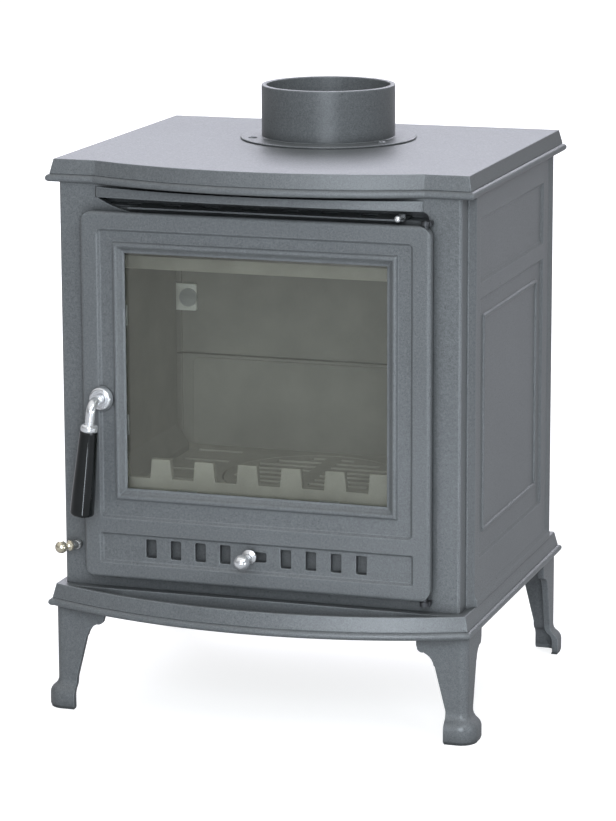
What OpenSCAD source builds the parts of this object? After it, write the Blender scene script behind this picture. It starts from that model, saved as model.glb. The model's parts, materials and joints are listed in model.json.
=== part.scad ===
// Cast-iron room stove: a rectangular fire chest on four cabriole legs, with a glazed door.
// Millimetres, +Z up. The origin is on the floor, below the middle of the stove's box.
// x runs to the right as seen from in front of the door, y runs from the door to the back.

/* [Top plate] */
// Width of the flat top of the plate
plate_w = 460; // [450:1:470]
// Depth of the flat top of the plate, without its bowed middle
plate_d = 381; // [376:1:390]
// Height of the plate's top above the floor
plate_top = 606; // [604:1:608]
// How far the front of the plate bows forward
plate_bow = 37; // [25:1:45]
// Half width of the bowed stretch at the front of the plate
plate_bow_half = 182; // [170:1:185]
// Thickness of the plate
plate_t = 8; // [6:1:10]

/* [Rims of top plate and base] */
// How far the sloped fascia runs outward
fascia_out = 3.6; // [3:0.2:5]
// Height of the sloped fascia
fascia_drop = 15.4; // [14:0.2:17]
// Radius of the round lip below the fascia
lip_r = 4.1; // [3:0.1:4.5]

/* [Casing] */
// Half width of the front casting
front_half = 223; // [221:1:225]
// Front face of the casing, measured from the middle of the plate
front_y = -193; // [-194:1:-192]
// Depth of the front casting's side returns
front_return = 22; // [18:1:24]
// Wall thickness of the castings
cast_t = 8; // [7:1:9]
// Half width over the side panels
side_half = 230.5; // [230:0.5:231.5]
// Back face of the casing, measured from the middle of the plate
back_y = 156; // [152:1:160]
// Width of the raised band at the rear of each side
rear_band = 15; // [12:0.5:20]
// Depth of the sunk fields in the side and back panels
sunk = 2.6; // [1:0.2:3]
// Height of the visor's lower edge above the floor
visor_low = 567; // [566:0.5:569]
// Height of the visor's band at its ends
visor_h = 11.3; // [9:0.1:12]
// How far the visor bows forward
visor_bow = 27; // [20:1:33]
// How far the visor's lower edge rises in the middle
visor_rise = 3; // [1:0.5:4]

/* [Base] */
// Half width of the base at its top edge
base_half = 231.5; // [231.5:0.5:234]
// Front edge of the base at its corners
base_front = -201; // [-202:0.5:-200]
// Straight front edge of the deck, where the ash trough begins
deck_front = -204; // [-207:0.5:-203]
// Back edge of the base's deck
base_back = 184; // [184:0.5:186]
// Height of the base's deck above the floor
base_top = 140; // [139:0.5:141]
// How far the ash lip bows forward of the deck
lip_bow = 48.3; // [44:0.1:50]
// Depth of the ash trough behind the bowed lip
trough_deep = 14; // [10:1:15]

/* [Legs] */
// Outer faces of the legs, from the middle
leg_half = 234; // [232:0.5:235]
// Width of a leg's wing at the top
wing_top = 57; // [54:1:60]
// Width of a leg's wing at the ankle
wing_ankle = 24; // [22:1:26]
// How far the foot flares outward
foot_out = 9.5; // [8:0.5:11]
// Wall of the hollow leg
leg_wall = 7; // [6:1:8]

/* [Door] */
// Half width of the door
door_half = 194.5; // [193:0.5:196]
// Lower edge of the door above the floor
door_low = 153.5; // [152.5:0.5:154]
// Upper edge of the door above the floor
door_high = 554; // [553:0.5:554.5]
// Front face of the door
door_y = -208.5; // [-209:0.5:-208]
// Thickness of the door's border
door_t = 12; // [11.5:0.5:12]
// Radius of the door's corners
door_corner = 14; // [10:1:20]
// Half width of the seen glass
glass_half = 146; // [140:1:148]
// Lower edge of the seen glass
glass_low = 253; // [250:1:256]
// Upper edge of the seen glass
glass_high = 510; // [505:1:512]
// Distance between the air slots' middles
slot_pitch = 28.1; // [27:0.1:29]
// Width of an air slot
slot_w = 12; // [9:0.5:12]
// Height of an air slot
slot_h = 20.5; // [18:0.5:23]
// Hinge axis, to the right of the middle
hinge_x = 187; // [186.5:0.5:187.5]
// Radius of the hinge pins
hinge_r = 3; // [3:0.5:3.5]

/* [Handle and knobs] */
// Handle spindle, from the middle
handle_x = -173; // [-174:0.5:-172.5]
// Height of the handle's spindle
handle_z = 351.5; // [345:0.5:360]
// Radius of the handle's spindle and arm
handle_r = 5; // [4.5:0.5:5]
// How far the handle's arm stands in front of the door
handle_out = 28; // [24:0.5:34]
// Length of the grip
grip_l = 93; // [80:1:95]
// Lean of the grip to the left
grip_lean = 6; // [0:0.5:10]
// Diameter of the round knob on the primary air slider
air_ball_d = 17; // [14:0.1:18]
// Diameter of the round knob on the riddling rod
riddle_ball_d = 13.6; // [12:0.1:15]
// How far the riddling rod's end is bent to the left
riddle_bend = 33; // [20:1:40]

/* [Flue] */
// Outer diameter of the flue spigot
spigot_d = 148.5; // [147:0.5:149]
// Wall of the spigot
spigot_wall = 5.5; // [5:0.5:7]
// Height of the spigot's mouth above the plate
spigot_h = 60; // [50:1:70]
// Diameter of the collar's flange
flange_d = 196; // [190:1:200]
// Distance of the flue behind the middle of the plate
flue_back = 55; // [50:1:58]

/* [Fire chamber] */
// Half width between the side liners
chamber_half = 190; // [188:1:191]
// Front face of the back liners
liner_back = 108; // [104:1:110]
// Top of the grate above the floor
grate_top = 234; // [232:1:236]
// Front edge of the baffle
baffle_front = -105; // [-115:1:-95]
// Height of the baffle's underside
baffle_z = 476; // [470:1:480]
// Distance between the log guard's teeth
tooth_pitch = 49.6; // [46:0.1:50]
// Height of the log guard's teeth
tooth_h = 21.5; // [15:0.5:24]
// Radius of the round riddling grate
riddle_r = 98; // [90:1:100]

/* [Hidden] */

iron = "dimgray";
bare_iron = "tan";
steel = "silver";
black = "#1a1a1a";
$fn = 64;
cut = 1;

crease = 0.6;
rim_drop = fascia_drop + crease + 2 * lip_r;
rim_out = fascia_out - crease / 2 + lip_r;
casing_top = plate_top - rim_drop;
// Middle of the plate in the part's own frame, so that the origin is under the box's middle
mid_y = ((lip_bow + rim_out - base_front) - (plate_d / 2 + rim_out)) / 2;
front_back = front_y + cast_t;
side_front = front_y + front_return;
side_in = side_half - cast_t;
base_under = base_top - cast_t;
base_low = base_top - rim_drop;

// Door opening of the front casting, inside the rope seal
open_left = -181;
open_right = 173.5;
open_low = 166;
open_high = 541;
open_corner = 14;
airslot_low = 551.5;
airslot_half = 188;
lug_t = 4.5;
lug_r = 5;
lug_clear = 0.4;
door_back = door_y + door_t;
hinge_y = -202;
lug_low = door_low - lug_clear - lug_t;
lug_high = door_high + lug_clear;

// Door details
field_half = 175.5;
field_low = 220;
field_high = 536;
field_deep = 3;
bead_half = glass_half + 12.5;
bead_w = 6;
rebate_half = glass_half + 11;
rebate_deep = 4.5;
gasket_t = 1;
glass_t = 3.5;
vent_low = 170;
vent_high = 204;
vent_half = 176.5;
slot_z = 188.3;
first_slot = 34.2;
slots_a_side = 4;
knob_slot = [-9.5, 12.5];
knob_slot_h = 11;
air_knob_x = -5;
air_knob_z = slot_z + 1.2;
slider_half = 139;
slider_t = 2.4;
slider_low = 176.5;
slider_high = 201.5;
channel_deep = 3.4;
rope_r = 3.4;
rope_box = [[-186, 160.5], [178.5, 546.5]];
rope_bend = 12;
clip_l = 22;
clip_t = 2;

// Riddling gear
rod_x = -208.5;
rod_z = 184.5;
rod_r = 5;
rod_bend_y = front_y - 2.5;
pivot = [0, -10];
arm_z = 213;
arm_t = 7;
drop_r = 4;
fork_clear = 0.5;

// Tie rods, one in each corner
rod_front = [194, -160];
rod_rear = [200, 136];
tie_r = 4;
leg_pad = 56;
leg_web = 52;
web_h = 12;
ankle_z = 33;
leg_round = 9;

// ---- shapes used by many pieces ----

// A box from its low corner to its high corner
module block(lo, hi) {
    translate(lo)
        cube(hi - lo);
}

// A flat outline in x and z, made solid from y0 to y1
module through_y(y0, y1) {
    translate([0, y1, 0])
        rotate([90, 0, 0])
            linear_extrude(y1 - y0)
                children();
}

// A flat outline in y and z, made solid from x0 to x1
module through_x(x0, x1) {
    translate([x0, 0, 0])
        rotate([90, 0, 90])
            linear_extrude(x1 - x0)
                children();
}

// A round bar along y, from y0 to y1
module bar_y(x, z, r, y0, y1) {
    translate([x, y1, z])
        rotate([90, 0, 0])
            cylinder(r = r, h = y1 - y0);
}

// Moves a piece from the plate's middle to the part's own origin
module placed() {
    translate([0, mid_y, 0])
        children();
}

// Points on an arc
function arc(c, r, a0, a1, n) =
    [for (i = [0:n]) let (a = a0 + (a1 - a0) * i / n) c + r * [cos(a), sin(a)]];

// A rectangle with round corners
function rounded(lo, hi, r, n = 6) = concat(
    arc([hi.x - r, hi.y - r], r, 0, 90, n),
    arc([lo.x + r, hi.y - r], r, 90, 180, n),
    arc([lo.x + r, lo.y + r], r, 180, 270, n),
    arc([hi.x - r, lo.y + r], r, 270, 360, n));

// Half an outline and its mirror image
function both_sides(half) =
    concat(half, [for (i = [len(half) - 1:-1:0]) [-half[i].x, half[i].y]]);

// Moulded edge of the plate and the base, from the top edge down to the lip's underside
function rim(half, top) = concat(
    [[half, top], [half + fascia_out, top - fascia_drop],
        [half + fascia_out - crease, top - fascia_drop - crease / 2]],
    arc([half + rim_out - lip_r, top - rim_drop + lip_r], lip_r, 90, -90, 8));

// Radius of a bow with this half chord and this rise
function bow_radius(half, rise) = (half * half + rise * rise) / (2 * rise);

// A disc whose edge is the moulded rim, with its foremost point at front
module rim_disc(half, rise, front, top) {
    r = bow_radius(half, rise);
    translate([0, front + r, 0])
        rotate_extrude($fn = 180)
            polygon(concat([[0, top]], rim(r, top), [[0, top - rim_drop]]));
}

// A slab with the moulded rim on all four sides
module rim_slab(half_x, y0, y1, top) {
    mid = (y0 + y1) / 2;
    reach = max(half_x, y1 - y0) + 100;
    intersection() {
        through_y(-reach, reach)
            polygon(both_sides(rim(half_x, top)));
        translate([0, mid, 0])
            through_x(-reach, reach)
                polygon(both_sides(rim((y1 - y0) / 2, top)));
    }
}

// A round knob on a collar and neck, pointing to +z
module ball_knob(ball_d, collar_d, length) {
    r = ball_d / 2;
    neck = ball_d / 5;
    sink = 15;
    rotate_extrude()
        polygon(concat(
            [[0, 0], [collar_d / 2 - 0.8, 0], [collar_d / 2, 0.8], [collar_d / 2, 2.6],
                [neck + 1, 4.5], [neck, 6]],
            arc([0, length - r], r, -90 + sink + 8, 90, 12)));
}

// A hexagon nut, standing on z = 0
module hex_nut(across, h, hole) {
    difference() {
        cylinder(d = across / cos(30), h = h, $fn = 6);
        translate([0, 0, -cut])
            cylinder(r = hole, h = h + 2 * cut);
    }
}

// ---- top ----

module top_plate() color(iron) placed() {
    difference() {
        union() {
            rim_slab(plate_w / 2, -plate_d / 2, plate_d / 2, plate_top);
            intersection() {
                rim_disc(plate_bow_half, plate_bow, -plate_d / 2 - plate_bow, plate_top);
                block([-plate_w / 2, -plate_d, casing_top - cut],
                    [plate_w / 2, rim_out - plate_d / 2, plate_top + cut]);
            }
        }
        // hollow underneath, with bosses left for the tie rods
        difference() {
            block([-side_in - 5, front_back - 1, casing_top - cut],
                [side_in + 5, back_y - 4, plate_top - plate_t]);
            for (p = tie_points())
                translate([p.x, p.y, casing_top - 2 * cut])
                    cylinder(r = 3 * tie_r, h = rim_drop);
        }
        for (p = tie_points())
            translate([p.x, p.y, casing_top - cut])
                cylinder(r = tie_r, h = rim_drop - plate_t + cut);
        translate([0, flue_back, casing_top])
            cylinder(d = spigot_d + 2, h = 2 * rim_drop);
        for (a = collar_angles())
            flue_at(a)
                translate([0, 0, plate_top - 2 * plate_t])
                    cylinder(r = screw_r, h = 3 * plate_t);
    }
}

screw_r = 2.5;
screw_circle = 86;
function collar_angles() = [-150, -30, 90];
function tie_points() = [for (s = [-1, 1], p = [rod_front, rod_rear]) [s * p.x, p.y]];

// A place on the collar's screw circle
module flue_at(a) {
    translate([screw_circle * cos(a), flue_back + screw_circle * sin(a), 0])
        children();
}

gasket_h = 0.4;
flange_low = plate_top + gasket_h;
flange_t = 2;
fillet = 0.8;
collar_step = 1;

module collar_gasket() color(black) placed() {
    difference() {
        translate([0, flue_back, plate_top])
            cylinder(d = flange_d - 3, h = gasket_h);
        translate([0, flue_back, plate_top - cut])
            cylinder(d = spigot_d + 2, h = gasket_h + 2 * cut);
        for (a = collar_angles())
            flue_at(a)
                translate([0, 0, plate_top - cut])
                    cylinder(r = screw_r, h = 3 * cut);
    }
}

// Flat ring with a fillet that runs up to the spigot
module collar_flange() color(iron) placed() {
    outer = spigot_d / 2;
    top = flange_low + flange_t;
    difference() {
        translate([0, flue_back, 0])
            rotate_extrude()
                polygon(concat(
                    [[outer - collar_step, flange_low], [flange_d / 2, flange_low], [flange_d / 2, top - 0.8],
                        [flange_d / 2 - 0.8, top]],
                    arc([outer + fillet, top + fillet], fillet, -90, -180, 4),
                    [[outer - collar_step, top + fillet]]));
        for (a = collar_angles())
            flue_at(a)
                translate([0, 0, plate_top])
                    cylinder(r = screw_r, h = 4 * flange_t);
    }
}

// Pipe with a shoulder that rests on the flange's fillet
module flue_spigot() color(iron) placed() {
    outer = spigot_d / 2;
    inner = outer - spigot_wall;
    mouth = plate_top + spigot_h;
    shoulder = flange_low + flange_t + fillet;
    translate([0, flue_back, 0])
        rotate_extrude()
            polygon(concat(
                [[inner, plate_top - plate_t], [outer - collar_step, plate_top - plate_t],
                    [outer - collar_step, shoulder], [outer, shoulder]],
                arc([outer - 1, mouth - 1], 1, 0, 90, 3),
                arc([inner + 1, mouth - 1], 1, 90, 180, 3)));
}

module collar_screws() color(steel) placed() {
    for (a = collar_angles())
        flue_at(a) {
            translate([0, 0, plate_top - plate_t])
                cylinder(r = screw_r, h = plate_t + gasket_h + flange_t);
            translate([0, 0, flange_low + flange_t])
                difference() {
                    intersection() {
                        cylinder(r = 5, h = 2.2);
                        translate([0, 0, -6])
                            sphere(r = 8);
                    }
                    translate([-0.6, -6, 1])
                        cube([1.2, 12, 2]);
                }
        }
}

// ---- casing ----

// Visor over the air slot: a bowed band with an open underside and an arched lower edge
module visor() color(iron) placed() {
    r = bow_radius(plate_bow_half, visor_bow);
    arch_r = bow_radius(plate_bow_half, visor_rise);
    arch_half = plate_bow_half + 6;
    lean = asin(arch_half / arch_r);
    band = 6;
    centre = front_y - visor_bow + r;
    difference() {
        intersection() {
            difference() {
                translate([0, centre, visor_low])
                    cylinder(r = r, h = visor_h, $fn = 180);
                translate([0, centre, visor_low - cut])
                    cylinder(r = r - band, h = visor_h - 3 + cut, $fn = 180);
            }
            block([-plate_bow_half, front_y - 2 * visor_bow, 0],
                [plate_bow_half, front_y, plate_top]);
        }
        through_y(front_y - 2 * visor_bow, front_y + cut)
            polygon(concat([[arch_half, visor_low - 2 * cut], [-arch_half, visor_low - 2 * cut]],
                arc([0, visor_low + visor_rise - arch_r], arch_r, 90 + lean, 90 - lean, 16)));
    }
}

// Lug that holds a hinge pin, with a neck back to the face
module hinge_lug(z) {
    neck = [1, 6];
    difference() {
        union() {
            translate([hinge_x, hinge_y, z])
                cylinder(r = lug_r, h = lug_t);
            block([hinge_x + neck[0], hinge_y, z], [hinge_x + neck[1], front_y, z + lug_t]);
        }
        translate([hinge_x, hinge_y, z - cut])
            cylinder(r = hinge_r + 0.08, h = lug_t + 2 * cut);
    }
}

module upper_hinge_lug() color(black) placed() hinge_lug(lug_high);

module lower_hinge_lug() color(black) placed() hinge_lug(lug_low);

// Outline of the air slot: round at the right end, a long curved taper at the left
function air_slot_line() =
    let (r = 7, taper_r = 104, taper_x = -125, lean = acos(1 - (visor_low - airslot_low) / taper_r))
        concat(
            arc([airslot_half - r, visor_low - r], r, 0, 90, 5),
            arc([taper_x, airslot_low + taper_r], taper_r, 270 - lean, 270, 8),
            arc([airslot_half - r, airslot_low + r], r, 270, 360, 5));

module front_casting() color(iron) placed() {
    difference() {
        union() {
            // face
            block([-front_half, front_y, base_top], [front_half, front_back, casing_top]);
            // side returns, and a top and bottom rail that stiffen the frame
            for (s = [-1, 1])
                block([min(s * front_half, s * (front_half - cast_t)), front_back, base_top],
                    [max(s * front_half, s * (front_half - cast_t)), side_front, casing_top]);
            block([-front_half + cast_t, front_back, base_top],
                [front_half - cast_t, side_front, base_top + cast_t]);
            // boss round the riddling rod
            bar_y(rod_x, rod_z, rod_r + 4, front_back, side_front);
        }
        through_y(front_y - cut, front_back + cut)
            polygon(rounded([open_left, open_low], [open_right, open_high], open_corner));
        through_y(front_y - cut, front_back + cut)
            polygon(air_slot_line());
        bar_y(rod_x, rod_z, rod_r + 0.08, front_y - cut, side_front + cut);
        // chamfer on the two upright edges
        for (s = [-1, 1])
            translate([s * front_half, front_y, 0])
                rotate([0, 0, 45])
                    translate([-1.4, -1.4, base_top - cut])
                        cube([2.8, 2.8, casing_top]);
    }
}

// Raised round bead along the outline of a rectangle in y and z, on the plane x = 0
module bead_frame(lo, hi, r) {
    for (z = [lo.y, hi.y])
        translate([0, hi.x, z])
            rotate([90, 0, 0])
                cylinder(r = r, h = hi.x - lo.x, $fn = 32);
    for (y = [lo.x, hi.x])
        translate([0, y, lo.y])
            cylinder(r = r, h = hi.y - lo.y, $fn = 32);
    for (y = [lo.x, hi.x], z = [lo.y, hi.y])
        translate([0, y, z])
            sphere(r = r, $fn = 32);
}

// Sunk field with sloped edges, cut from the plane x = 0 towards -x
module sunk_field(lo, hi, deep) {
    slope = deep * 1.4;
    intersection() {
        through_y(lo.x - 2 * cut, hi.x + 2 * cut)
            polygon([[cut, lo.y - slope * cut / deep], [0, lo.y], [-deep, lo.y + slope],
                [-deep, hi.y - slope], [0, hi.y], [cut, hi.y + slope * cut / deep]]);
        linear_extrude(plate_top)
            polygon([[cut, lo.x - slope * cut / deep], [0, lo.x], [-deep, lo.x + slope],
                [-deep, hi.x - slope], [0, hi.x], [cut, hi.x + slope * cut / deep]]);
    }
}

upper_field = [[-145, 486.5], [121, 556]];
lower_field = [[-145, 188.5], [121, 470.5]];
bead_box = [[-124, 216], [97, 448]];
bead_r = 2.2;
skirting = [2.5, 7, 13];
front_bevel = [6, 9.5];
side_bead = 2.5;

// Plan of the side panel: a bevel at the front and a raised band at the rear
function side_plan() = [[side_in, side_front], [side_half - front_bevel.x, side_front],
    [side_half, side_front + front_bevel.y], [side_half, back_y - rear_band],
    [side_half + side_bead - 0.6, back_y - rear_band / 2 + 1.5],
    [side_half + side_bead, back_y - rear_band / 2 + 4],
    [side_half + side_bead, back_y - 1.5], [side_half + side_bead - 1.5, back_y], [side_in, back_y]];

// Side panel on the right; the left one is its mirror image
module side_panel() {
    difference() {
        union() {
            translate([0, 0, base_top])
                linear_extrude(casing_top - base_top)
                    polygon(side_plan());
            // skirting with a sloped top
            through_y(side_front + front_bevel.y, back_y)
                polygon([[side_in, base_top], [side_half + skirting[0], base_top],
                    [side_half + skirting[0], base_top + skirting[1]],
                    [side_half, base_top + skirting[2]], [side_in, base_top + skirting[2]]]);
            // turned-in front flange that meets the front casting
            block([front_half - cast_t, side_front, base_top],
                [side_in, side_front + cast_t, casing_top]);
            // ledges under the grate, clear of the riddling arm
            for (y = [[-150, -60], [30, 126]])
                block([side_in - 9, y[0], grate_low - cast_t], [side_in, y[1], grate_low]);
        }
        translate([side_half, 0, 0])
            sunk_field(upper_field[0], upper_field[1], sunk);
        translate([side_half, 0, 0])
            sunk_field(lower_field[0], lower_field[1], sunk);
    }
    // round bead that stands on the sunk field
    intersection() {
        translate([side_half - sunk, 0, 0])
            bead_frame(bead_box[0], bead_box[1], bead_r);
        block([side_half - sunk, side_front, base_top], [side_half, back_y, casing_top]);
    }
}

module right_side_panel() color(iron) placed() side_panel();

module left_side_panel() color(iron) placed() mirror([1, 0, 0]) side_panel();

module back_panel() color(iron) placed() {
    inner = back_y - cast_t - sunk;
    rib = 8;
    difference() {
        union() {
            block([-side_in, inner, base_top], [side_in, back_y, casing_top]);
            // stiffening ribs on the inside
            for (z = [base_top + 60, casing_top - 60])
                block([-side_in + 30, inner - rib, z], [side_in - 30, inner, z + rib]);
        }
        for (z = [[170, 345], [378, 553]])
            translate([0, back_y, 0])
                rotate([0, 0, 90])
                    sunk_field([-side_in + 28, z[0]], [side_in - 28, z[1]], sunk);
    }
}

module base_plate() color(iron) placed() {
    difference() {
        union() {
            rim_slab(base_half, base_front, base_back, base_top);
            intersection() {
                rim_disc(base_half, lip_bow, base_front - lip_bow, base_top);
                through_y(base_front - 2 * lip_bow, 0)
                    polygon(both_sides(rim(base_half, base_top)));
                block([-2 * base_half, base_front - 2 * lip_bow, base_low - cut],
                    [2 * base_half, base_front + rim_out, base_top + cut]);
            }
        }
        ash_trough();
        // hollow underneath
        block([-base_half + cast_t, base_front + cast_t, base_low - cut],
            [base_half - cast_t, base_back - cast_t, base_under]);
        for (p = tie_points())
            translate([p.x, p.y, base_low])
                cylinder(r = tie_r, h = rim_drop + cut);
    }
}

// Crescent trough between the deck's straight edge and the bowed lip
module ash_trough() {
    r = bow_radius(base_half, lip_bow);
    lip_t = 4;
    intersection() {
        translate([0, base_front - lip_bow + r, base_top - trough_deep])
            cylinder(r = r - lip_t, h = trough_deep + cut, $fn = 180);
        block([-base_half, base_front - lip_bow, 0], [base_half, deck_front, base_top + cut]);
    }
}

// ---- legs ----

// Outer line of a leg seen square on, from the top down to the flared foot
function leg_outer() =
    let (turn = 55, r = foot_out / (2 * (1 - cos(turn))), shoulder = ankle_z - 2 * r * sin(turn))
        hundredths(concat([[0, base_low]],
            arc([r, ankle_z], r, 180, 180 + turn, 4),
            arc([foot_out - r, shoulder], r, turn - 12, 0, 5),
            [[foot_out, 3.5], [foot_out - 1.2, 0]]));

// Points rounded to a hundredth, so that flat and turned walls share their edges
function hundredths(points) = [for (p = points) [round(100 * p.x) / 100, round(100 * p.y) / 100]];

// Inner line of a leg's wing from the floor up: a slanted shin, then a hollow and a small step
function leg_inner() = concat(
    [[-wing_ankle + 1, 0], [-wing_ankle, 3], [-wing_ankle, 34], [-36, 82]],
    arc([-54, 80.5], 17, 10, 70, 5),
    arc([-wing_top + 7, 102.5], 6, -65, -150, 4),
    [[-wing_top + 0.5, 104.5], [-wing_top, base_low]]);

// The same outer line as a thin strip of the leg's wall
function leg_strip() = let (o = leg_outer())
    concat(o, [for (i = [len(o) - 1:-1:0]) o[i] - [leg_wall, 0]]);

// A leg with its outer corner near the z axis and its wings towards -x and -y
module leg() {
    span = 2 * wing_top;
    wing = concat([[0, base_low], [0, 0]], leg_inner());
    intersection() {
        through_y(-span, span)
            polygon(wing);
        through_x(-span, -leg_round)
            polygon(leg_strip());
    }
    intersection() {
        through_y(-span, -leg_round)
            polygon(leg_strip());
        through_x(-span, span)
            polygon(wing);
    }
    // round outer corner between the wings
    translate([-leg_round, -leg_round, 0])
        rotate_extrude(angle = 90)
            polygon([for (p = leg_strip()) [p.x + leg_round, p.y]]);
}

// Leg with the pad that the tie rod clamps under the deck; hole is the rod's place
module padded_leg(hole) {
    inset = leg_half - base_half + cast_t;
    difference() {
        union() {
            leg();
            // neck that rises inside the base's skirt
            for (p = [[[-leg_pad, -inset - leg_wall], [-inset, -inset]],
                    [[-inset - leg_wall, -leg_pad], [-inset, -inset]]])
                block([p[0].x, p[0].y, base_low - web_h], [p[1].x, p[1].y, base_under]);
            // webs between the neck and the leg's wall
            block([-leg_web, -inset - leg_wall, base_low - web_h], [-leg_wall, -cut, base_low]);
            block([-inset - leg_wall, -leg_web, base_low - web_h], [-cut, -leg_wall, base_low]);
            block([-leg_pad, -leg_pad, base_under - cast_t], [-inset, -inset, base_under]);
        }
        translate([hole.x, hole.y, base_low - cut])
            cylinder(r = tie_r, h = rim_drop + 2 * cut);
    }
}

leg_front = base_front + 1;
leg_rear = base_back - 1;

// Puts a leg in its corner: sx is -1 on the left, sy is -1 at the front
module leg_at(sx, sy) {
    y = sy < 0 ? leg_front : leg_rear;
    p = sy < 0 ? rod_front : rod_rear;
    translate([sx * leg_half, y, 0])
        mirror([sx < 0 ? 1 : 0, 0, 0])
            mirror([0, sy < 0 ? 1 : 0, 0])
                padded_leg([p.x - leg_half, sy < 0 ? y - p.y : p.y - y]);
}

module front_left_leg() color(iron) placed() leg_at(-1, -1);

module front_right_leg() color(iron) placed() leg_at(1, -1);

module rear_left_leg() color(iron) placed() leg_at(-1, 1);

module rear_right_leg() color(iron) placed() leg_at(1, 1);

pad_low = base_under - cast_t;

module tie_rods() color(steel) placed() {
    for (p = tie_points())
        translate([p.x, p.y, pad_low - 11])
            cylinder(r = tie_r, h = plate_top - plate_t - pad_low + 11 - 1);
}

module tie_rod_nuts() color(steel) placed() {
    for (p = tie_points())
        translate([p.x, p.y, pad_low - 8]) {
            hex_nut(13, 6.5, tie_r);
            translate([0, 0, 6.5])
                difference() {
                    cylinder(r = 8, h = 1.5);
                    translate([0, 0, -cut])
                        cylinder(r = tie_r, h = 4);
                }
        }
}

// ---- airwash ----

channel_back = -160;
channel_t = 3;
channel_half = 186;
channel_floor = 556.4;
wash_holes = 7;
wash_pitch = 44;
wash_w = 20;
wash_shut = 14;

// Row of openings that the slider uncovers
module wash_slots(shift, z0, z1) {
    for (i = [0:wash_holes - 1])
        block([(i - (wash_holes - 1) / 2) * wash_pitch - wash_w / 2 + shift, -181, z0],
            [(i - (wash_holes - 1) / 2) * wash_pitch + wash_w / 2 + shift, -168, z1]);
}

module airwash_channel() color(iron) placed() {
    difference() {
        union() {
            block([-channel_half, front_back, airslot_low],
                [channel_half, channel_back, channel_floor]);
            block([6 - channel_half, channel_back - channel_t, channel_floor],
                [channel_half - 6, channel_back, plate_top - plate_t - 2]);
        }
        wash_slots(0, airslot_low - cut, channel_floor + cut);
    }
}

slider_z = channel_floor + 0.4;
wash_plate_t = 1.8;
wash_right = 162;
wash_left = -143;
wash_front = -198.5;
wash_tab = [7, 3.5, 5.4];
wash_tab_y = -192;

// Slotted slide whose front edge shows in the slot, with a tab for its knob
module airwash_slider() color(iron) placed() {
    top = slider_z + wash_plate_t;
    difference() {
        union() {
            block([-170, front_back + 0.5, slider_z], [wash_right, -164, top]);
            block([wash_left, wash_front, slider_z], [wash_right, front_back + cut, top]);
            block([wash_right - wash_tab.x, wash_tab_y, slider_z],
                [wash_right, wash_tab_y + wash_tab.y, top + wash_tab.z]);
        }
        wash_slots(-wash_shut, slider_z - cut, top + cut);
    }
}

module airwash_knob() color(steel) placed() {
    ball_r = 3.4;
    translate([wash_right - wash_tab.x / 2, wash_tab_y, slider_z + wash_plate_t + 2.3])
        rotate([90, 0, 0])
            rotate_extrude($fn = 32)
                polygon(concat(
                    [[0, 0], [2.2, 0], [2.2, 2.5], [1.7, 3.5], [1.7, 12]],
                    arc([0, 16], ball_r, -60, 90, 9)));
}

// ---- fire chamber ----

liner_t = 22;
liner_front = -150;

liner_cut = 74;

// Side liner: a slab with a hot face that leans into the grate at its foot, cut back at its rear
module side_liner() {
    rear = liner_back - clip_deep;
    difference() {
        through_y(liner_front, rear)
            polygon([[chamber_half, baffle_z], [chamber_half + liner_t, baffle_z],
                [chamber_half + liner_t, grate_top], [chamber_half - 14, grate_top],
                [chamber_half - 14, grate_top + 6], [chamber_half, grate_top + 30]]);
        translate([0, 0, grate_top - cut])
            linear_extrude(baffle_z - grate_top + 2 * cut)
                polygon([[chamber_half - liner_t, liner_cut], [chamber_half, liner_cut],
                    [back_liner_half, rear], [back_liner_half, liner_back],
                    [chamber_half - liner_t, liner_back]]);
    }
}

module right_liner() color(bare_iron) placed() side_liner();

module left_liner() color(bare_iron) placed() mirror([1, 0, 0]) side_liner();

liner_joint = 341;
back_liner_t = 17;
back_liner_half = chamber_half + liner_t - 6;
proud = 4;
strip = [195, 202.5];
strip_low = 250;
panel_half = 181.5;

// Narrow upright strips near the ends of a back liner
module liner_strips(z0, z1) {
    for (s = [-1, 1])
        block([min(s * strip[0], s * strip[1]), liner_back - proud, z0],
            [max(s * strip[0], s * strip[1]), liner_back + cut, z1]);
}

// Slab with a raised panel that its front face shows between the strips
module lower_back_liner() color(bare_iron) placed() {
    block([-back_liner_half, liner_back, grate_top],
        [back_liner_half, liner_back + back_liner_t, liner_joint - 1]);
    liner_strips(strip_low, liner_joint - 1);
    through_y(liner_back - proud, liner_back + cut)
        polygon(rounded([-panel_half, grate_top], [panel_half, liner_joint - 4], 8));
}

module upper_back_liner() color(bare_iron) placed() {
    difference() {
        union() {
            block([-back_liner_half, liner_back, liner_joint + 1],
                [back_liner_half, liner_back + back_liner_t, baffle_z]);
            liner_strips(liner_joint + 1, baffle_z);
        }
        for (s = [-1, 1])
            bar_y(s * bolt_x, clip_z, 3.2, liner_back - 2 * proud, liner_back + back_liner_t + cut);
    }
}

clip_x = 191.5;
clip_z = 408;
clip_size = [33, 31];
clip_deep = 2 * proud;
bolt_x = 184;
bolt_head = 3.5;

// Square plates that lap over the rear ends of the side liners
module liner_clips() color(bare_iron) placed() {
    for (s = [-1, 1])
        difference() {
            through_y(liner_back - clip_deep, liner_back - proud)
                polygon(rounded([s * clip_x - clip_size.x / 2, clip_z - clip_size.y / 2],
                    [s * clip_x + clip_size.x / 2, clip_z + clip_size.y / 2], 2, 3));
            bar_y(s * bolt_x, clip_z, 3.2, liner_back - clip_deep - cut, liner_back + cut);
        }
}

module liner_clip_bolts() color(steel) placed() {
    for (s = [-1, 1]) {
        bar_y(s * bolt_x, clip_z, 3, liner_back - clip_deep, liner_back + back_liner_t + 6);
        bar_y(s * bolt_x, clip_z, 10.5, liner_back - clip_deep - bolt_head, liner_back - clip_deep);
    }
}

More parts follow.
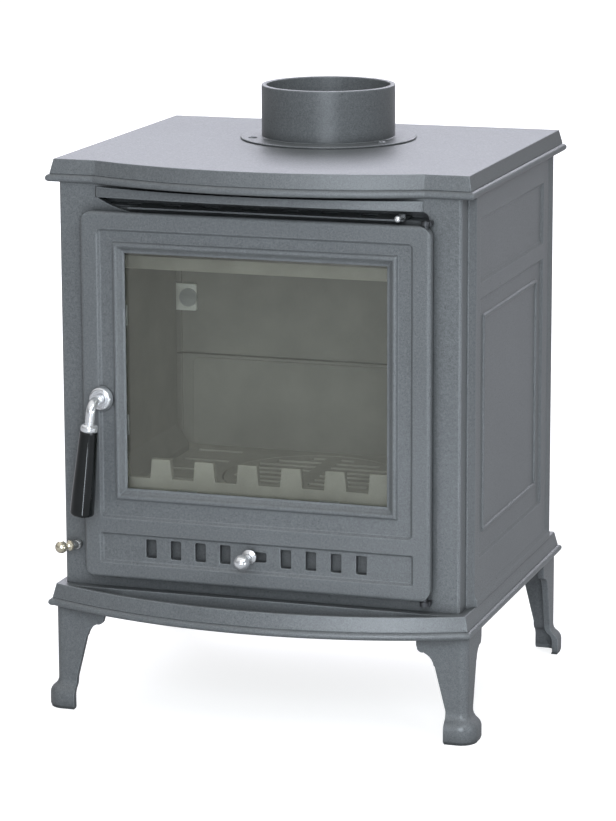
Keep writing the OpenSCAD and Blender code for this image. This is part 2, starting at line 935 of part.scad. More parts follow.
// Throat plate that turns the smoke to the front before it reaches the flue
module baffle_plate() color(bare_iron) placed() {
    lip = 14;
    half = chamber_half + liner_t - 2;
    block([-half, baffle_front, baffle_z], [half, liner_back + back_liner_t, baffle_z + cast_t]);
    block([-half, baffle_front, baffle_z + cast_t], [half, baffle_front + cast_t, baffle_z + lip]);
}

guard_y = -158.5;
guard_t = 8;
guard_teeth = 8;
tooth_w = 21;
guard_half = 178;
guard_notch = 255;

// Castellated bar that keeps the fuel off the glass
module log_guard() color(bare_iron) placed() {
    through_y(guard_y, guard_y + guard_t) {
        difference() {
            polygon([[-guard_half, grate_top], [guard_half, grate_top],
                [guard_half, guard_notch + tooth_h], [-guard_half, guard_notch + tooth_h]]);
            for (i = [0:guard_teeth - 2])
                let (x = (i - (guard_teeth - 2) / 2) * tooth_pitch, w = (tooth_pitch - tooth_w) / 2)
                    polygon([[x - w + 2, guard_notch], [x + w - 2, guard_notch],
                        [x + w, guard_notch + tooth_h + cut], [x - w, guard_notch + tooth_h + cut]]);
        }
    }
}

grate_t = 12;
grate_low = grate_top - grate_t;
disc_low = grate_low + 4;
frame_rear = 126;
slat = 9;

module grate_frame() color(bare_iron) placed() {
    difference() {
        union() {
            block([-chamber_half - liner_t - 3, liner_front - 2, grate_low],
                [chamber_half + liner_t + 3, frame_rear, grate_top]);
            block([-guard_half - 2, guard_y - 4, grate_low], [guard_half + 2, liner_front - 2, grate_top]);
        }
        translate([pivot.x, pivot.y, disc_low - 0.6])
            cylinder(r = riddle_r + 2, h = grate_t);
        translate([pivot.x, pivot.y, grate_low - cut])
            cylinder(r = riddle_r - 7, h = grate_t);
        // air slots beside the round grate
        for (s = [-1, 1], i = [0:4])
            block([min(s * 112, s * 166), -120 + i * 48, grate_low - cut],
                [max(s * 112, s * 166), -120 + i * 48 + slat, grate_top + cut]);
    }
}

// Round grate with bars, a hub and the arm that the riddling rod moves
module riddling_grate() color(bare_iron) placed() {
    bars = 9;
    pitch = 20;
    translate([pivot.x, pivot.y, 0]) {
        difference() {
            translate([0, 0, disc_low])
                cylinder(r = riddle_r, h = grate_top - disc_low);
            for (i = [0:bars - 1])
                let (y = (i - (bars - 1) / 2) * pitch,
                    w = sqrt(pow(riddle_r - 10, 2) - pow(abs(y) + slat / 2, 2)))
                    for (s = [-1, 1])
                        block([min(s * slat, s * w), y - slat / 2, disc_low - cut],
                            [max(s * slat, s * w), y + slat / 2, grate_top + cut]);
        }
        translate([0, 0, arm_z])
            cylinder(r = 16, h = disc_low - arm_z);
        difference() {
            block([rod_x - 8, -7, arm_z], [0, 7, arm_z + arm_t]);
            translate([0, 0, arm_z - cut])
                cylinder(r = 16, h = arm_t + 2 * cut);
        }
        translate([rod_x, 0, rod_z - 7])
            cylinder(r = drop_r, h = arm_z - rod_z + 7);
    }
}

// Riddling rod: straight through the front, bent outward at the knob, slotted at the arm
module riddling_rod() color(steel) placed() {
    fork_w = 16;
    fork_h = 7;
    slot_out = drop_r + 1.2;
    slot_in = drop_r + 5;
    slot_y = drop_r + fork_clear;
    difference() {
        union() {
            bar_y(rod_x, rod_z, rod_r, rod_bend_y - 3, pivot.y - fork_w / 2);
            block([rod_x - fork_w / 2, pivot.y - fork_w, rod_z - fork_h / 2],
                [rod_x + slot_in + 3, pivot.y + fork_w / 2, rod_z + fork_h / 2]);
            riddle_end()
                translate([0, 0, -3])
                    cylinder(r = rod_r - 0.4, h = 11);
            riddle_end()
                cylinder(r = rod_r - 2, h = 13);
        }
        block([rod_x - slot_out, pivot.y - slot_y, rod_z - fork_h],
            [rod_x + slot_in, pivot.y + slot_y, rod_z + fork_h]);
    }
}

// Direction of the rod's bent end
module riddle_end() {
    translate([rod_x, rod_bend_y, rod_z])
        rotate([90, 0, -riddle_bend])
            children();
}

module riddling_knob() color("goldenrod") placed() {
    riddle_end()
        translate([0, 0, 8])
            difference() {
                ball_knob(riddle_ball_d, 11.5, 20);
                translate([0, 0, -cut])
                    cylinder(r = rod_r - 2, h = 5 + cut);
            }
}

pan_half = 150;
pan_front = -166;
pan_rear = 118;
pan_h = 50;
pan_t = 1.6;
pan_low = base_top + 0.4;

// Folded steel pan with leaning ends and a loop to lift it by
module ash_pan() color("#303234") placed() {
    lean = 6;
    difference() {
        through_x(-pan_half, pan_half)
            polygon([[pan_front + lean, pan_low], [pan_rear - lean, pan_low],
                [pan_rear, pan_low + pan_h], [pan_front, pan_low + pan_h]]);
        through_x(-pan_half + pan_t, pan_half - pan_t)
            polygon([[pan_front + lean + pan_t, pan_low + pan_t], [pan_rear - lean - pan_t, pan_low + pan_t],
                [pan_rear - pan_t, pan_low + pan_h + cut], [pan_front + pan_t, pan_low + pan_h + cut]]);
    }
    // lifting loop on the front
    loop_z = pan_low + pan_h - 16;
    for (s = [-1, 1])
        bar_y(s * 30, loop_z, 3, pan_front - 12, pan_front + 2);
    translate([-30, pan_front - 12, loop_z])
        rotate([0, 90, 0])
            cylinder(r = 3, h = 60);
    for (s = [-1, 1])
        translate([s * 30, pan_front - 12, loop_z])
            sphere(r = 3);
}

keeper_t = 2.5;

module latch_keeper() color(steel) placed() {
    difference() {
        through_y(front_back, front_back + keeper_t)
            polygon(rounded([-206, handle_z - 26], [open_left - 2, handle_z + 14], 3, 3));
        for (z = [handle_z - 19, handle_z + 7])
            bar_y(-196, z, 2, front_back - cut, front_back + keeper_t + cut);
    }
}

// ---- door ----

// Door slab with round corners, and edges rounded over at the front and back
module door_slab() {
    round_over = 4;
    intersection() {
        through_y(door_y, door_back)
            polygon(rounded([-door_half, door_low], [door_half, door_high], door_corner, 8));
        linear_extrude(door_high + cut)
            polygon(rounded([-door_half, door_y], [door_half, door_back], round_over, 5));
        through_x(-door_half, door_half)
            polygon(rounded([door_y, door_low], [door_back, door_high], round_over, 5));
    }
}

// Field sunk into the door's face, with sloped walls and round corners
module door_field(lo, hi, r) {
    deep = door_y + field_deep;
    intersection() {
        through_y(door_y - cut, deep)
            polygon(rounded(lo - [cut, cut] / 2, hi + [cut, cut] / 2, r));
        through_x(-door_half, door_half)
            polygon([[door_y - cut, lo.y - cut], [deep + cut, lo.y + field_deep + cut],
                [deep + cut, hi.y - field_deep - cut], [door_y - cut, hi.y + cut]]);
        linear_extrude(door_high)
            polygon([[lo.x - cut, door_y - cut], [lo.x + field_deep + cut, deep + cut],
                [hi.x - field_deep - cut, deep + cut], [hi.x + cut, door_y - cut]]);
    }
}

// Moulding round the glass: a round bead, then a slope down to the glass
function moulding() = concat(
    [[0, 0]],
    arc([bead_w / 2 + 0.5, 0.6], bead_w / 2, 160, 20, 7),
    [[bead_w + 1.2, 0.4], [12.5, -4], [12.5, -4.5], [0, -4.5]]);

// One mitred side of the moulding, along x, its outer edge on z = 0
module moulding_side(length) {
    intersection() {
        translate([-length / 2, 0, 0])
            rotate([90, 0, 90])
                linear_extrude(length)
                    polygon([for (p = moulding()) [-p.y, -p.x]]);
        through_y(-20, 20)
            polygon([[-length / 2, 0], [length / 2, 0], [length / 2 - 20, -20], [-length / 2 + 20, -20]]);
    }
}

module glass_moulding() {
    low = glass_low - 12.5;
    high = glass_high + 12.5;
    mid = (low + high) / 2;
    translate([0, door_y + field_deep, mid])
        for (side = [[0, high - mid, 2 * bead_half], [90, bead_half, high - low],
                [180, high - mid, 2 * bead_half], [270, bead_half, high - low]])
            rotate([0, side[0], 0])
                translate([0, 0, side[1]])
                    moulding_side(side[2]);
}

function slot_places() =
    [for (s = [-1, 1], i = [0:slots_a_side - 1]) s * (first_slot + i * slot_pitch)];

// Upright air slots with a little round in their corners
module air_slots(shift, y0, y1) {
    for (x = slot_places())
        through_y(y0, y1)
            polygon(rounded([x - slot_w / 2 + shift, slot_z - slot_h / 2],
                [x + slot_w / 2 + shift, slot_z + slot_h / 2], 1.5, 3));
}

module door_casting() color(iron) placed() {
    pad_r = 14;
    difference() {
        union() {
            difference() {
                door_slab();
                // sunk field round the glass
                door_field([-field_half, field_low], [field_half, field_high], 9);
                // sunk panel with the air slots
                door_field([-vent_half, vent_low], [vent_half, vent_high], 6);
                // opening for the glass and the rebate behind it
                block([-bead_half + 1, door_y - cut, glass_low - 11.5],
                    [bead_half - 1, door_back + cut, glass_high + 11.5]);
            }
            glass_moulding_back();
            glass_moulding();
            // flat pad under the handle's rosette, and the bearing behind it
            bar_y(handle_x, handle_z, pad_r, door_y, door_y + field_deep + cut);
            bar_y(handle_x, handle_z, handle_r + 2, door_back - cut, front_y + 1.5);
        }
        air_slots(0, door_y - cut, door_back + cut);
        through_y(door_y - cut, door_back + cut)
            polygon(rounded([knob_slot[0], slot_z - knob_slot_h / 2],
                [knob_slot[1], slot_z + knob_slot_h / 2], 2, 3));
        // channel for the air slider
        block([-slider_half - 15, door_back - channel_deep, slider_low - 0.3],
            [slider_half + 15, door_back + cut, slider_high + 0.3]);
        bar_y(handle_x, handle_z, handle_r + 0.06, door_y - cut, front_y + 3);
        hinge_holes();
        rope_groove();
    }
}

// Flat ring behind the moulding that carries the glass
module glass_moulding_back() {
    difference() {
        block([-bead_half + 1, door_back - rebate_deep - 2, glass_low - 11.5],
            [bead_half - 1, door_back, glass_high + 11.5]);
        block([-glass_half, door_y, glass_low], [glass_half, door_back + cut, glass_high]);
        block([-rebate_half, door_back - rebate_deep, glass_low - 11],
            [rebate_half, door_back + cut, glass_high + 11]);
    }
}

module hinge_holes() {
    depth = 24;
    translate([hinge_x, hinge_y, door_high - depth])
        cylinder(r = hinge_r, h = depth + cut);
    translate([hinge_x, hinge_y, door_low - cut])
        cylinder(r = hinge_r, h = depth + cut);
}

rope_y = door_back - 0.2;

// Rectangular run of round rope with round corners, in x and z
module rope_run(r) {
    lo = rope_box[0];
    hi = rope_box[1];
    b = rope_bend;
    for (z = [lo.y, hi.y])
        translate([lo.x + b, rope_y, z])
            rotate([0, 90, 0])
                cylinder(r = r, h = hi.x - lo.x - 2 * b, $fn = 32);
    for (x = [lo.x, hi.x])
        translate([x, rope_y, lo.y + b])
            cylinder(r = r, h = hi.y - lo.y - 2 * b, $fn = 32);
    for (c = [[hi.x - b, hi.y - b, 0], [lo.x + b, hi.y - b, 90], [lo.x + b, lo.y + b, 180],
            [hi.x - b, lo.y + b, 270]])
        translate([c.x, rope_y, c.y])
            rotate([90, 0, 0])
                rotate([0, 0, c.z])
                    rotate_extrude(angle = 90)
                        translate([b, 0])
                            circle(r = r, $fn = 32);
}

module rope_groove() {
    rope_run(rope_r);
}

module door_rope_seal() color("dimgray") placed() rope_run(rope_r);

module door_glass() color([0.25, 0.27, 0.24, 0.5]) placed() {
    y = door_back - rebate_deep + gasket_t;
    block([-rebate_half + 1, y, glass_low - 10], [rebate_half - 1, y + glass_t, glass_high + 10]);
}

module glass_gasket() color("gray") placed() {
    y = door_back - rebate_deep;
    difference() {
        block([-rebate_half + 1, y, glass_low - 10], [rebate_half - 1, y + gasket_t, glass_high + 10]);
        block([-glass_half - 1, y - cut, glass_low - 1], [glass_half + 1, y + glass_t, glass_high + 1]);
    }
}

glass_mid = (glass_low + glass_high) / 2;
clip_y = door_back - rebate_deep + gasket_t + glass_t;
function clip_places() = [[-80, glass_high + 15, 0], [80, glass_high + 15, 0],
    [-80, glass_low - 15, 180], [80, glass_low - 15, 180],
    [-glass_half - 15, glass_mid + 60, 90], [glass_half + 15, glass_mid + 60, 270],
    [-glass_half - 15, glass_mid - 60, 90], [glass_half + 15, glass_mid - 60, 270]];

module glass_clips() color(steel) placed() {
    for (c = clip_places())
        translate([c.x, clip_y, c.y])
            rotate([0, -c.z, 0])
                difference() {
                    block([-clip_l / 2, 0, -15], [clip_l / 2, clip_t, 6]);
                    bar_y(0, 0, 2, -cut, clip_t + cut);
                }
}

module glass_clip_screws() color(steel) placed() {
    for (c = clip_places())
        translate([c.x, clip_y, c.y])
            bar_y(0, 0, 4, clip_t, clip_t + 1.4);
}

module hinge_pins() color(steel) placed() {
    depth = 24;
    pin_end = 0.8;
    translate([hinge_x, hinge_y, door_high - depth])
        cylinder(r = hinge_r, h = depth + lug_clear + lug_t + pin_end);
    translate([hinge_x, hinge_y, lug_low - pin_end])
        cylinder(r = hinge_r, h = pin_end + lug_t + lug_clear + depth);
}

module slider_guides() color(steel) placed() {
    t = 1.6;
    for (z = [[slider_low - 6, slider_low + 4], [slider_high - 4, slider_high + 6]])
        block([-slider_half - 12, door_back, z[0]], [slider_half + 12, door_back + t, z[1]]);
}

module air_slider() color(iron) placed() {
    y = door_back - channel_deep + 0.4;
    difference() {
        block([-slider_half, y, slider_low], [slider_half, y + slider_t, slider_high]);
        air_slots(-slot_pitch / 2, y - cut, y + slider_t + cut);
    }
    bar_y(air_knob_x, air_knob_z, 3, door_y - 1.5, y);
}

module air_knob() color(steel) placed() {
    translate([air_knob_x, door_y - 1.5, air_knob_z])
        rotate([90, 0, 0])
            ball_knob(air_ball_d, 16, 35);
}

// ---- handle ----

arm_y = door_y - handle_out;
arm_drop = 23;
elbow = 11;

module handle_rosette() color(steel) placed() {
    translate([handle_x, door_y, handle_z])
        rotate([90, 0, 0])
            rotate_extrude()
                polygon(concat(
                    [[handle_r + 0.3, 0], [12.4, 0]],
                    arc([9.6, 2.2], 2.8, 0, 150, 7),
                    [[handle_r + 0.3, 1.6]]));
}

// Bent bar: spindle through the door with a thinner end, round elbow, and the arm to the grip
module handle_spindle() color(steel) placed() {
    translate([handle_x, arm_y + elbow, handle_z])
        rotate([0, grip_lean, 0]) {
            bar_y(0, 0, handle_r, 0, tongue_y - arm_y - elbow);
            bar_y(0, 0, handle_r - 1, 0, tongue_y + tongue_t + 5 - arm_y - elbow);
            translate([0, 0, -elbow])
                rotate([90, 0, -90])
                    rotate_extrude(angle = 90)
                        translate([elbow, 0])
                            circle(r = handle_r);
            translate([0, -elbow, -arm_drop])
                cylinder(r = handle_r, h = arm_drop - elbow);
        }
}

// Local frame of the arm, hanging down from the elbow along -z
module arm_end() {
    translate([handle_x, arm_y + elbow, handle_z])
        rotate([0, grip_lean, 0])
            translate([0, -elbow, -arm_drop])
                children();
}

ferrule_h = 8;

module handle_ferrule() color(steel) placed() {
    arm_end()
        rotate([180, 0, 0])
            rotate_extrude()
                polygon([[0, 0], [6.5, 0], [8.6, 1.4], [9.2, 3], [9.2, 6], [8.4, ferrule_h], [0, ferrule_h]]);
}

module handle_grip() color(black) placed() {
    arm_end()
        rotate([180, 0, 0])
            translate([0, 0, ferrule_h])
                rotate_extrude()
                    polygon(concat(
                        [[0, 0], [9.2, 0], [9.9, 1.2], [11.2, 32], [12.6, 66]],
                        arc([9.8, grip_l - 3.4], 3.4, 5, 90, 5),
                        [[0, grip_l]]));
}

tongue_y = front_back + keeper_t + 0.6;
tongue_t = 5;

module latch_tongue() color(steel) placed() {
    difference() {
        through_y(tongue_y, tongue_y + tongue_t)
            polygon(concat(
                arc([handle_x, handle_z], 5.9, 0, 180, 10),
                [[handle_x - 5.9, handle_z - 26], [handle_x - 3, handle_z - 29],
                    [handle_x + 3, handle_z - 29], [handle_x + 5.9, handle_z - 26]]));
        bar_y(handle_x, handle_z, handle_r - 1, tongue_y - cut, tongue_y + tongue_t + cut);
    }
}

module latch_nut() color(steel) placed() {
    translate([handle_x, tongue_y + tongue_t + 4, handle_z])
        rotate([90, 0, 0])
            hex_nut(11, 4, handle_r - 1);
}

top_plate();
collar_gasket();
collar_flange();
flue_spigot();
collar_screws();
front_casting();
visor();
upper_hinge_lug();
lower_hinge_lug();
left_side_panel();
right_side_panel();
back_panel();
base_plate();
front_left_leg();
front_right_leg();
rear_left_leg();
rear_right_leg();
tie_rods();
tie_rod_nuts();
airwash_channel();
airwash_slider();
airwash_knob();
left_liner();
right_liner();
lower_back_liner();
upper_back_liner();
liner_clips();
liner_clip_bolts();
baffle_plate();
log_guard();
grate_frame();
riddling_grate();
riddling_rod();
riddling_knob();
ash_pan();
latch_keeper();
door_casting();
door_glass();
glass_gasket();
glass_clips();
glass_clip_screws();
door_rope_seal();
hinge_pins();
slider_guides();
air_slider();
air_knob();
handle_rosette();
handle_spindle();
handle_ferrule();
handle_grip();
latch_tongue();
latch_nut();
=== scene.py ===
import math

import bpy
from mathutils import Matrix, Vector
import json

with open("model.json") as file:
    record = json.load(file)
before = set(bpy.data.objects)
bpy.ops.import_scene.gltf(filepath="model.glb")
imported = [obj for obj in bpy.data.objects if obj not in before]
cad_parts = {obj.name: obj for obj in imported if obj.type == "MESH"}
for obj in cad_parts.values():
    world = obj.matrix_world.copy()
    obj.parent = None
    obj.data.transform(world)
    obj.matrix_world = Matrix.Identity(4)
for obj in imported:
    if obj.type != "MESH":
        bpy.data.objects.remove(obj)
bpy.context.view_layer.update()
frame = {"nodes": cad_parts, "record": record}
scene = bpy.context.scene

# ---- camera: the photograph's view, in the part's own frame, in metres ----

# the middle of the top plate's straight sides lies this far behind the middle of the whole stove
MID_Y = 0.0294
CAMERA_AT = Vector((1.16624, -3.59674 + MID_Y, 1.11832))
YAW, PITCH, ROLL = (math.radians(a) for a in (18.07, 12.12, -0.21))
FOCAL_PX = 3463.29
PHOTO_LONG_SIDE = 821
SENSOR = 36.0
FARTHEST_SEEN = 50


def make_camera():
    ahead = Vector((-math.sin(YAW) * math.cos(PITCH), math.cos(YAW) * math.cos(PITCH), -math.sin(PITCH)))
    level = Vector((math.cos(YAW), math.sin(YAW), 0))
    upright = level.cross(ahead)
    right = level * math.cos(ROLL) + upright * math.sin(ROLL)
    up = -level * math.sin(ROLL) + upright * math.cos(ROLL)
    data = bpy.data.cameras.new("camera")
    data.sensor_fit = "AUTO"
    data.sensor_width = SENSOR
    data.lens = FOCAL_PX * SENSOR / PHOTO_LONG_SIDE
    data.clip_end = FARTHEST_SEEN
    camera = bpy.data.objects.new("camera", data)
    turn = Matrix((right, up, -ahead)).transposed()
    camera.matrix_world = Matrix.Translation(CAMERA_AT) @ turn.to_4x4()
    scene.collection.objects.link(camera)
    scene.camera = camera


make_camera()

# ---- node trees ----


class Tree:
    """The node tree of a world or a material, with short ways to add nodes."""

    def __init__(self, owner):
        owner.use_nodes = True
        self.nodes, self.links = owner.node_tree.nodes, owner.node_tree.links
        self.nodes.clear()

    def feed(self, socket, value):
        """Gives an input a number, a vector, a colour without alpha, or another node's output."""
        if isinstance(value, bpy.types.NodeSocket):
            self.links.new(value, socket)
        elif socket.type == "RGBA":
            socket.default_value = (*value, 1)
        else:
            socket.default_value = value

    def add(self, kind, inputs=(), **settings):
        """A new node. The inputs are pairs of a socket's name or number and its value."""
        node = self.nodes.new("ShaderNode" + kind)
        for setting, value in settings.items():
            setattr(node, setting, value)
        for socket, value in inputs:
            self.feed(node.inputs[socket], value)
        return node

    def math(self, how, a, b):
        return self.add("Math", ((0, a), (1, b)), operation=how).outputs[0]

    def mix(self, fac, a, b):
        return self.add("Mix", ((0, fac), (6, a), (7, b)), data_type="RGBA").outputs[2]

    def mix_shader(self, fac, a, b):
        return self.add("MixShader", ((0, fac), (1, a), (2, b))).outputs[0]

    def span(self, source, low, high, from_low=0.0, from_high=1.0, how="LINEAR"):
        """Maps the range of the source to the range from low to high."""
        inputs = (("Value", source), ("From Min", from_low), ("From Max", from_high),
                  ("To Min", low), ("To Max", high))
        return self.add("MapRange", inputs, interpolation_type=how).outputs[0]

    def seen(self):
        """1 for what the camera sees, also through glass, and 0 for light and reflections."""
        path = self.add("LightPath")
        return self.math("MAXIMUM", path.outputs["Is Camera Ray"], path.outputs["Is Transmission Ray"])


# ---- light and stage ----

scene.view_settings.view_transform = "Standard"

# what lamps' light and reflections find round the stove, and the white paper that the camera sees
ROOM_LEFT = (0.12, 0.12, 0.12)
ROOM_RIGHT = (0.04, 0.04, 0.04)
ROOM_TOP = (0.8, 0.8, 0.8)
ROOM_BEHIND = (0.4, 0.4, 0.42)
WHITE = (1, 1, 1)

FLOOR_HALF = 14.0
FLOOR_LIT = (0.4, 0.4, 0.4)
# the camera sees a glow that brings the floor to white and a dim surface that keeps the shadow
FLOOR_SEEN = (0.55, 0.55, 0.55)
FLOOR_GLOW = 0.75

DAYLIGHT = (0.84, 0.92, 1.0)
SOFT_SKY = (0.87, 0.88, 1.0)
# middle of the stove, which the lamps are aimed at
AIM = Vector((0, 0, 0.38))
# name, azimuth from the front to the right, height, distance, width and height as angles, radiance, colour
LAMPS = (
    # the main soft box, on the door and the bowed rims
    ("front", 15, 18, 4.9, (22, 36), 8.8, DAYLIGHT),
    # upright sheen on the flue spigot
    ("strip", 18, -7, 1.5, (12, 11), 8, DAYLIGHT),
    # line of light on the handle's grip
    ("spark", 1.5, -20, 0.8, (3, 11), 13, DAYLIGHT),
    # bevels of the right side
    ("low", 68, -10, 1.45, (12, 9), 10, DAYLIGHT),
    # fields of the right side
    ("side", 56, 38, 3.6, (24, 20), 3.3, DAYLIGHT),
    # pale reflection on the top plate
    ("back", 192, 35, 6.0, (52, 30), 5.0, SOFT_SKY),
)


def lamp_at(name, azimuth, height, far, spread, radiance, colour):
    """A soft box seen from the stove at these angles, all in degrees."""
    a, h = math.radians(azimuth), math.radians(height)
    ray = Vector((math.cos(h) * math.sin(a), -math.cos(h) * math.cos(a), math.sin(h)))
    data = bpy.data.lights.new(name, "AREA")
    data.shape = "RECTANGLE"
    data.size, data.size_y = (2 * far * math.tan(math.radians(s) / 2) for s in spread)
    data.energy = math.pi * data.size * data.size_y * radiance
    data.color = colour
    lamp = bpy.data.objects.new(name, data)
    lamp.location = AIM + far * ray
    lamp.rotation_euler = (-ray).to_track_quat("-Z", "Y").to_euler()
    scene.collection.objects.link(lamp)


def make_world():
    """A room with dim sides, a pale ceiling and a grey rear, which the camera sees as white paper."""
    world = bpy.data.worlds.new("studio")
    scene.world = world
    tree = Tree(world)
    x, y, z = tree.add("SeparateXYZ", ((0, tree.add("TexCoord").outputs["Generated"]),)).outputs
    room = tree.mix(tree.span(x, 0, 1, -0.9, 0.9, "SMOOTHSTEP"), ROOM_LEFT, ROOM_RIGHT)
    room = tree.mix(tree.span(z, 0, 1, 0.1, 0.9, "SMOOTHSTEP"), room, ROOM_TOP)
    room = tree.mix(tree.span(y, 0, 1, 0.1, 0.7, "SMOOTHSTEP"), room, ROOM_BEHIND)
    light = tree.add("Background", (("Color", room), ("Strength", 1.0)))
    paper = tree.add("Background", (("Color", WHITE), ("Strength", 1.0)))
    tree.add("OutputWorld", (("Surface", tree.mix_shader(tree.seen(), light.outputs[0], paper.outputs[0])),))


def make_floor():
    h = FLOOR_HALF
    mesh = bpy.data.meshes.new("floor")
    mesh.from_pydata([(-h, -h, 0), (h, -h, 0), (h, h, 0), (-h, h, 0)], [], [(0, 1, 2, 3)])
    floor = bpy.data.objects.new("floor", mesh)
    scene.collection.objects.link(floor)
    mat = bpy.data.materials.new("floor")
    tree = Tree(mat)
    lit = tree.add("BsdfDiffuse", (("Color", FLOOR_LIT),))
    dim = tree.add("BsdfDiffuse", (("Color", FLOOR_SEEN),))
    glow = tree.add("Emission", (("Strength", FLOOR_GLOW),))
    pale = tree.add("AddShader", ((0, dim.outputs[0]), (1, glow.outputs[0])))
    tree.add("OutputMaterial", (("Surface", tree.mix_shader(tree.seen(), lit.outputs[0], pale.outputs[0])),))
    mesh.materials.append(mat)


make_world()
make_floor()
for lamp in LAMPS:
    lamp_at(*lamp)

# ---- materials: noise scales are per metre, radii and depths in metres ----


def shade(colour, factor):
    return tuple(min(1, c * factor) for c in colour)


class Recipe(Tree):
    """A material round one principled shader."""

    def __init__(self, name):
        self.mat = bpy.data.materials.new(name)
        super().__init__(self.mat)
        self.bsdf = self.add("BsdfPrincipled")
        self.out = self.add("OutputMaterial", (("Surface", self.bsdf.outputs[0]),))
        self.place = self.add("TexCoord").outputs["Object"]

    def put(self, socket, value):
        self.feed(self.bsdf.inputs[socket], value)

    def noise(self, scale, detail=4, rough=0.55, stretch=None):
        place = self.place
        if stretch:
            place = self.add("Mapping", (("Vector", place), ("Scale", stretch))).outputs[0]
        inputs = (("Vector", place), ("Scale", scale), ("Detail", detail), ("Roughness", rough))
        return self.add("TexNoise", inputs).outputs["Fac"]

    def ramp(self, source, stops):
        node = self.add("ValToRGB", ((0, source),))
        elements = node.color_ramp.elements
        while len(elements) < len(stops):
            elements.new(0.5)
        for element, (position, colour) in zip(elements, stops):
            element.position = position
            element.color = (*colour, 1)
        return node.outputs[0]

    def edges(self, radius, full=0.25):
        """A mask of edges and corners, 1 where the rounded normal leans off by full, and that normal."""
        rounded = self.add("Bevel", (("Radius", radius),), samples=4).outputs[0]
        flat = self.add("NewGeometry").outputs["Normal"]
        along = self.add("VectorMath", ((0, rounded), (1, flat)), operation="DOT_PRODUCT")
        return self.span(self.math("SUBTRACT", 1.0, along.outputs["Value"]), 0, 1, 0.0, full), rounded

    def painted_crease_shade(self, reach):
        """Painted shade, up to 0.85, in steps, gaps and inner corners, from ambient occlusion."""
        node = self.add("AmbientOcclusion", (("Distance", reach),), samples=8)
        return self.span(node.outputs["AO"], 0.85, 0.0, 0.25, 0.85)

    def bump(self, layers, normal=None):
        """Stacks (height, strength, distance) layers, the first on top of the given normal."""
        for height, strength, distance in layers:
            inputs = [("Strength", strength), ("Distance", distance), ("Height", height)]
            if normal is not None:
                inputs.append(("Normal", normal))
            normal = self.add("Bump", inputs).outputs[0]
        self.put("Normal", normal)


def cast_paint(name, base, roughness=0.34, grain=1.0):
    """Satin heat-proof paint on sand-cast iron: cloudy and gritty, with a painted highlight on edges and
    painted shade in corners.
    """
    r = Recipe(name)
    cloud = r.noise(7, 3)
    sand = r.noise(430, 3, 0.6)
    speck = r.noise(950, 2, 0.7)
    colour = r.ramp(cloud, [(0.3, shade(base, 0.93)), (0.7, shade(base, 1.07))])
    colour = r.mix(r.span(sand, 0.0, 0.6, 0.42, 0.7), colour, shade(base, 1.5))
    colour = r.mix(r.span(speck, 0.75, 0.0, 0.3, 0.52), colour, shade(base, 0.5))
    # painted highlight: edges and corners lightened in patches, as if they caught the light
    edge_mask, round_normal = r.edges(0.002, 0.14)
    patchy = r.span(r.noise(60, 4), 0.45, 1.0, 0.35, 0.65)
    painted_edge_highlight = r.math("MULTIPLY", edge_mask, r.math("MULTIPLY", patchy, 0.85))
    colour = r.mix(painted_edge_highlight, colour, shade(base, 2.3))
    # painted shade darkens steps, gaps and inner corners
    colour = r.mix(r.painted_crease_shade(0.02), colour, shade(base, 0.2))
    r.put("Base Color", colour)
    r.put("Roughness", r.span(sand, roughness - 0.07, roughness + 0.09, 0.3, 0.7))
    r.put("Specular IOR Level", 0.5)
    layers = [(sand, 0.26 * grain, 0.0006), (speck, 0.3 * grain, 0.00022), (cloud, 0.08, 0.002)]
    r.bump(layers, round_normal)
    return r.mat


def bare_iron(name, base):
    """Bare iron casting, browned by heat and dusted with ash."""
    r = Recipe(name)
    cloud = r.noise(14, 5, 0.6)
    pits = r.noise(420, 3, 0.65)
    colour = r.ramp(cloud, [(0.25, shade(base, 0.72)), (0.55, base), (0.8, shade(base, 1.25))])
    # edges and corners made paler
    edge_mask, round_normal = r.edges(0.0015)
    r.put("Base Color", r.mix(r.math("MULTIPLY", edge_mask, 0.4), colour, shade(base, 1.7)))
    r.put("Roughness", r.span(cloud, 0.62, 0.82))
    r.bump([(pits, 0.3, 0.0006), (cloud, 0.15, 0.002)], round_normal)
    return r.mat


def polished(name, base, roughness):
    """Bright plating with faint waviness and wear."""
    r = Recipe(name)
    smear = r.noise(90, 3)
    r.put("Base Color", r.ramp(smear, [(0.35, shade(base, 0.93)), (0.7, base)]))
    r.put("Metallic", 0.8)
    r.put("Roughness", r.span(smear, roughness, roughness + 0.08, 0.4, 0.8))
    _, round_normal = r.edges(0.0006)
    r.bump([(r.noise(160, 2), 0.04, 0.0004)], round_normal)
    return r.mat


def plain_steel(name, base, roughness=0.38):
    """Zinc-grey or dark sheet steel with rolling streaks."""
    r = Recipe(name)
    streak = r.noise(120, 4, 0.6, (0.15, 1, 1))
    r.put("Base Color", r.ramp(streak, [(0.3, shade(base, 0.75)), (0.7, base)]))
    r.put("Metallic", 0.9)
    r.put("Roughness", r.span(streak, roughness - 0.06, roughness + 0.12))
    _, round_normal = r.edges(0.0005)
    r.bump([(streak, 0.08, 0.0003)], round_normal)
    return r.mat


def gloss_black(name):
    """Hard black moulded grip, glossy with faint sink marks and fingermarks."""
    r = Recipe(name)
    smear = r.noise(45, 4)
    r.put("Base Color", r.ramp(smear, [(0.3, (0.002, 0.003, 0.003)), (0.75, (0.006, 0.007, 0.007))]))
    r.put("Roughness", r.span(smear, 0.06, 0.12, 0.4, 0.75))
    r.put("Specular IOR Level", 0.4)
    r.put("Coat Weight", 0.25)
    r.put("Coat Roughness", 0.05)
    r.bump([(r.noise(70, 2), 0.05, 0.0005)])
    return r.mat


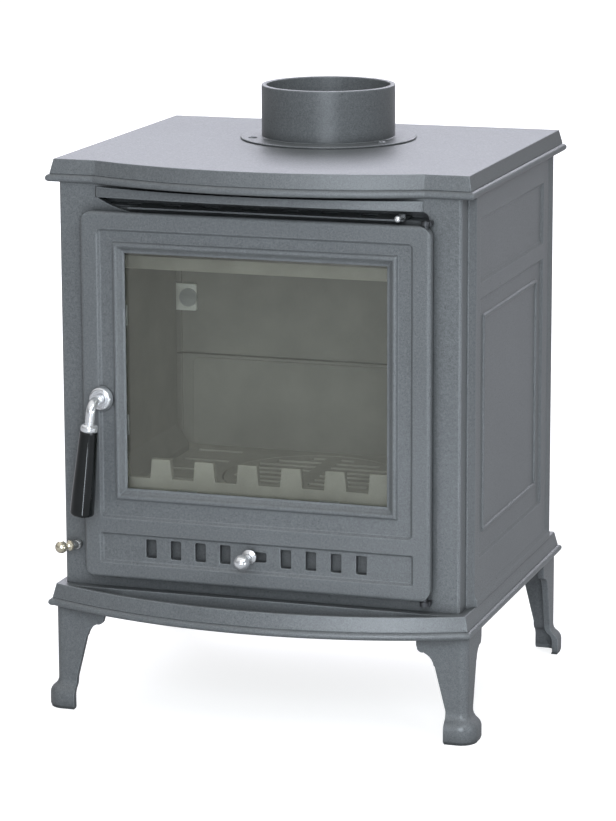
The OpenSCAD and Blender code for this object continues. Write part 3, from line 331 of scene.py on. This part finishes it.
def rope_fibre(name, base):
    """Knitted glass-fibre rope."""
    r = Recipe(name)
    inputs = (("Vector", r.place), ("Scale", 160), ("Distortion", 3))
    knit = r.add("TexWave", inputs, wave_type="BANDS", bands_direction="DIAGONAL").outputs["Fac"]
    fuzz = r.noise(700, 4, 0.7)
    r.put("Base Color", r.mix(knit, shade(base, 0.55), base))
    r.put("Roughness", 0.95)
    r.put("Sheen Weight", 0.3)
    r.bump([(knit, 0.6, 0.0008), (fuzz, 0.4, 0.0004)])
    return r.mat


def stove_glass(name):
    """Coated glass-ceramic pane: clear, with a soft reflection of the room and a faint bloom."""
    r = Recipe(name)
    bloom = r.noise(9, 4)
    r.put("Base Color", (0.92, 0.9, 0.8))
    r.put("Metallic", 1.0)
    r.put("Roughness", r.span(bloom, 0.03, 0.06))
    clear = r.add("BsdfTransparent", (("Color", (0.93, 0.945, 0.93)),))
    gloss = r.add("Fresnel", (("IOR", 1.5),))
    reflected = r.math("ADD", r.span(bloom, 0.04, 0.07), gloss.outputs[0])
    r.feed(r.out.inputs["Surface"], r.mix_shader(reflected, clear.outputs[0], r.bsdf.outputs[0]))
    return r.mat


PAINT = (0.122, 0.128, 0.131)
BY_SLOT = {
    "stove_paint": cast_paint("stove_paint_satin", PAINT),
    "bare_cast_iron": bare_iron("bare_iron_heated", (0.36, 0.335, 0.29)),
    "plain_steel": plain_steel("plain_steel_zinc", (0.55, 0.55, 0.54)),
    "polished_chrome": polished("chrome_polished", (0.92, 0.92, 0.93), 0.2),
    "warm_chrome": polished("plate_warm", (0.74, 0.67, 0.52), 0.2),
    # dark sheet steel; where it covers the hinge lugs, its dark is painted shade
    "dark_sheet_steel": plain_steel("dark_sheet", (0.1, 0.1, 0.105), 0.5),
    "black_grip": gloss_black("grip_black"),
    "stove_glass": stove_glass("glass_smoky"),
    "fibre_rope": rope_fibre("rope_grey", (0.2, 0.19, 0.18)),
}

# the liners round the fire are sooty, their clips cleaner than the rest, the top plate smoother
BY_NODE = {
    "top_plate": cast_paint("plate_paint", PAINT, 0.42, 0.5),
    # the air slider gets a darker copy of the paint: painted shade for the shadowed slot it sits in
    "air_slider": cast_paint("slider_paint_painted_shade", shade(PAINT, 0.6)),
    "liner_clips": bare_iron("bare_iron_clean", (0.85, 0.83, 0.76)),
}
sooty = bare_iron("bare_iron_sooty", (0.2, 0.19, 0.165))
for liner in ("left_liner", "right_liner", "lower_back_liner", "upper_back_liner"):
    BY_NODE[liner] = sooty

slot_of = {part["node"]: part["material_slot"] for part in frame["record"]["subparts"]}
for node_name, node in frame["nodes"].items():
    node.data.materials.clear()
    node.data.materials.append(BY_NODE.get(node_name, BY_SLOT[slot_of[node_name]]))
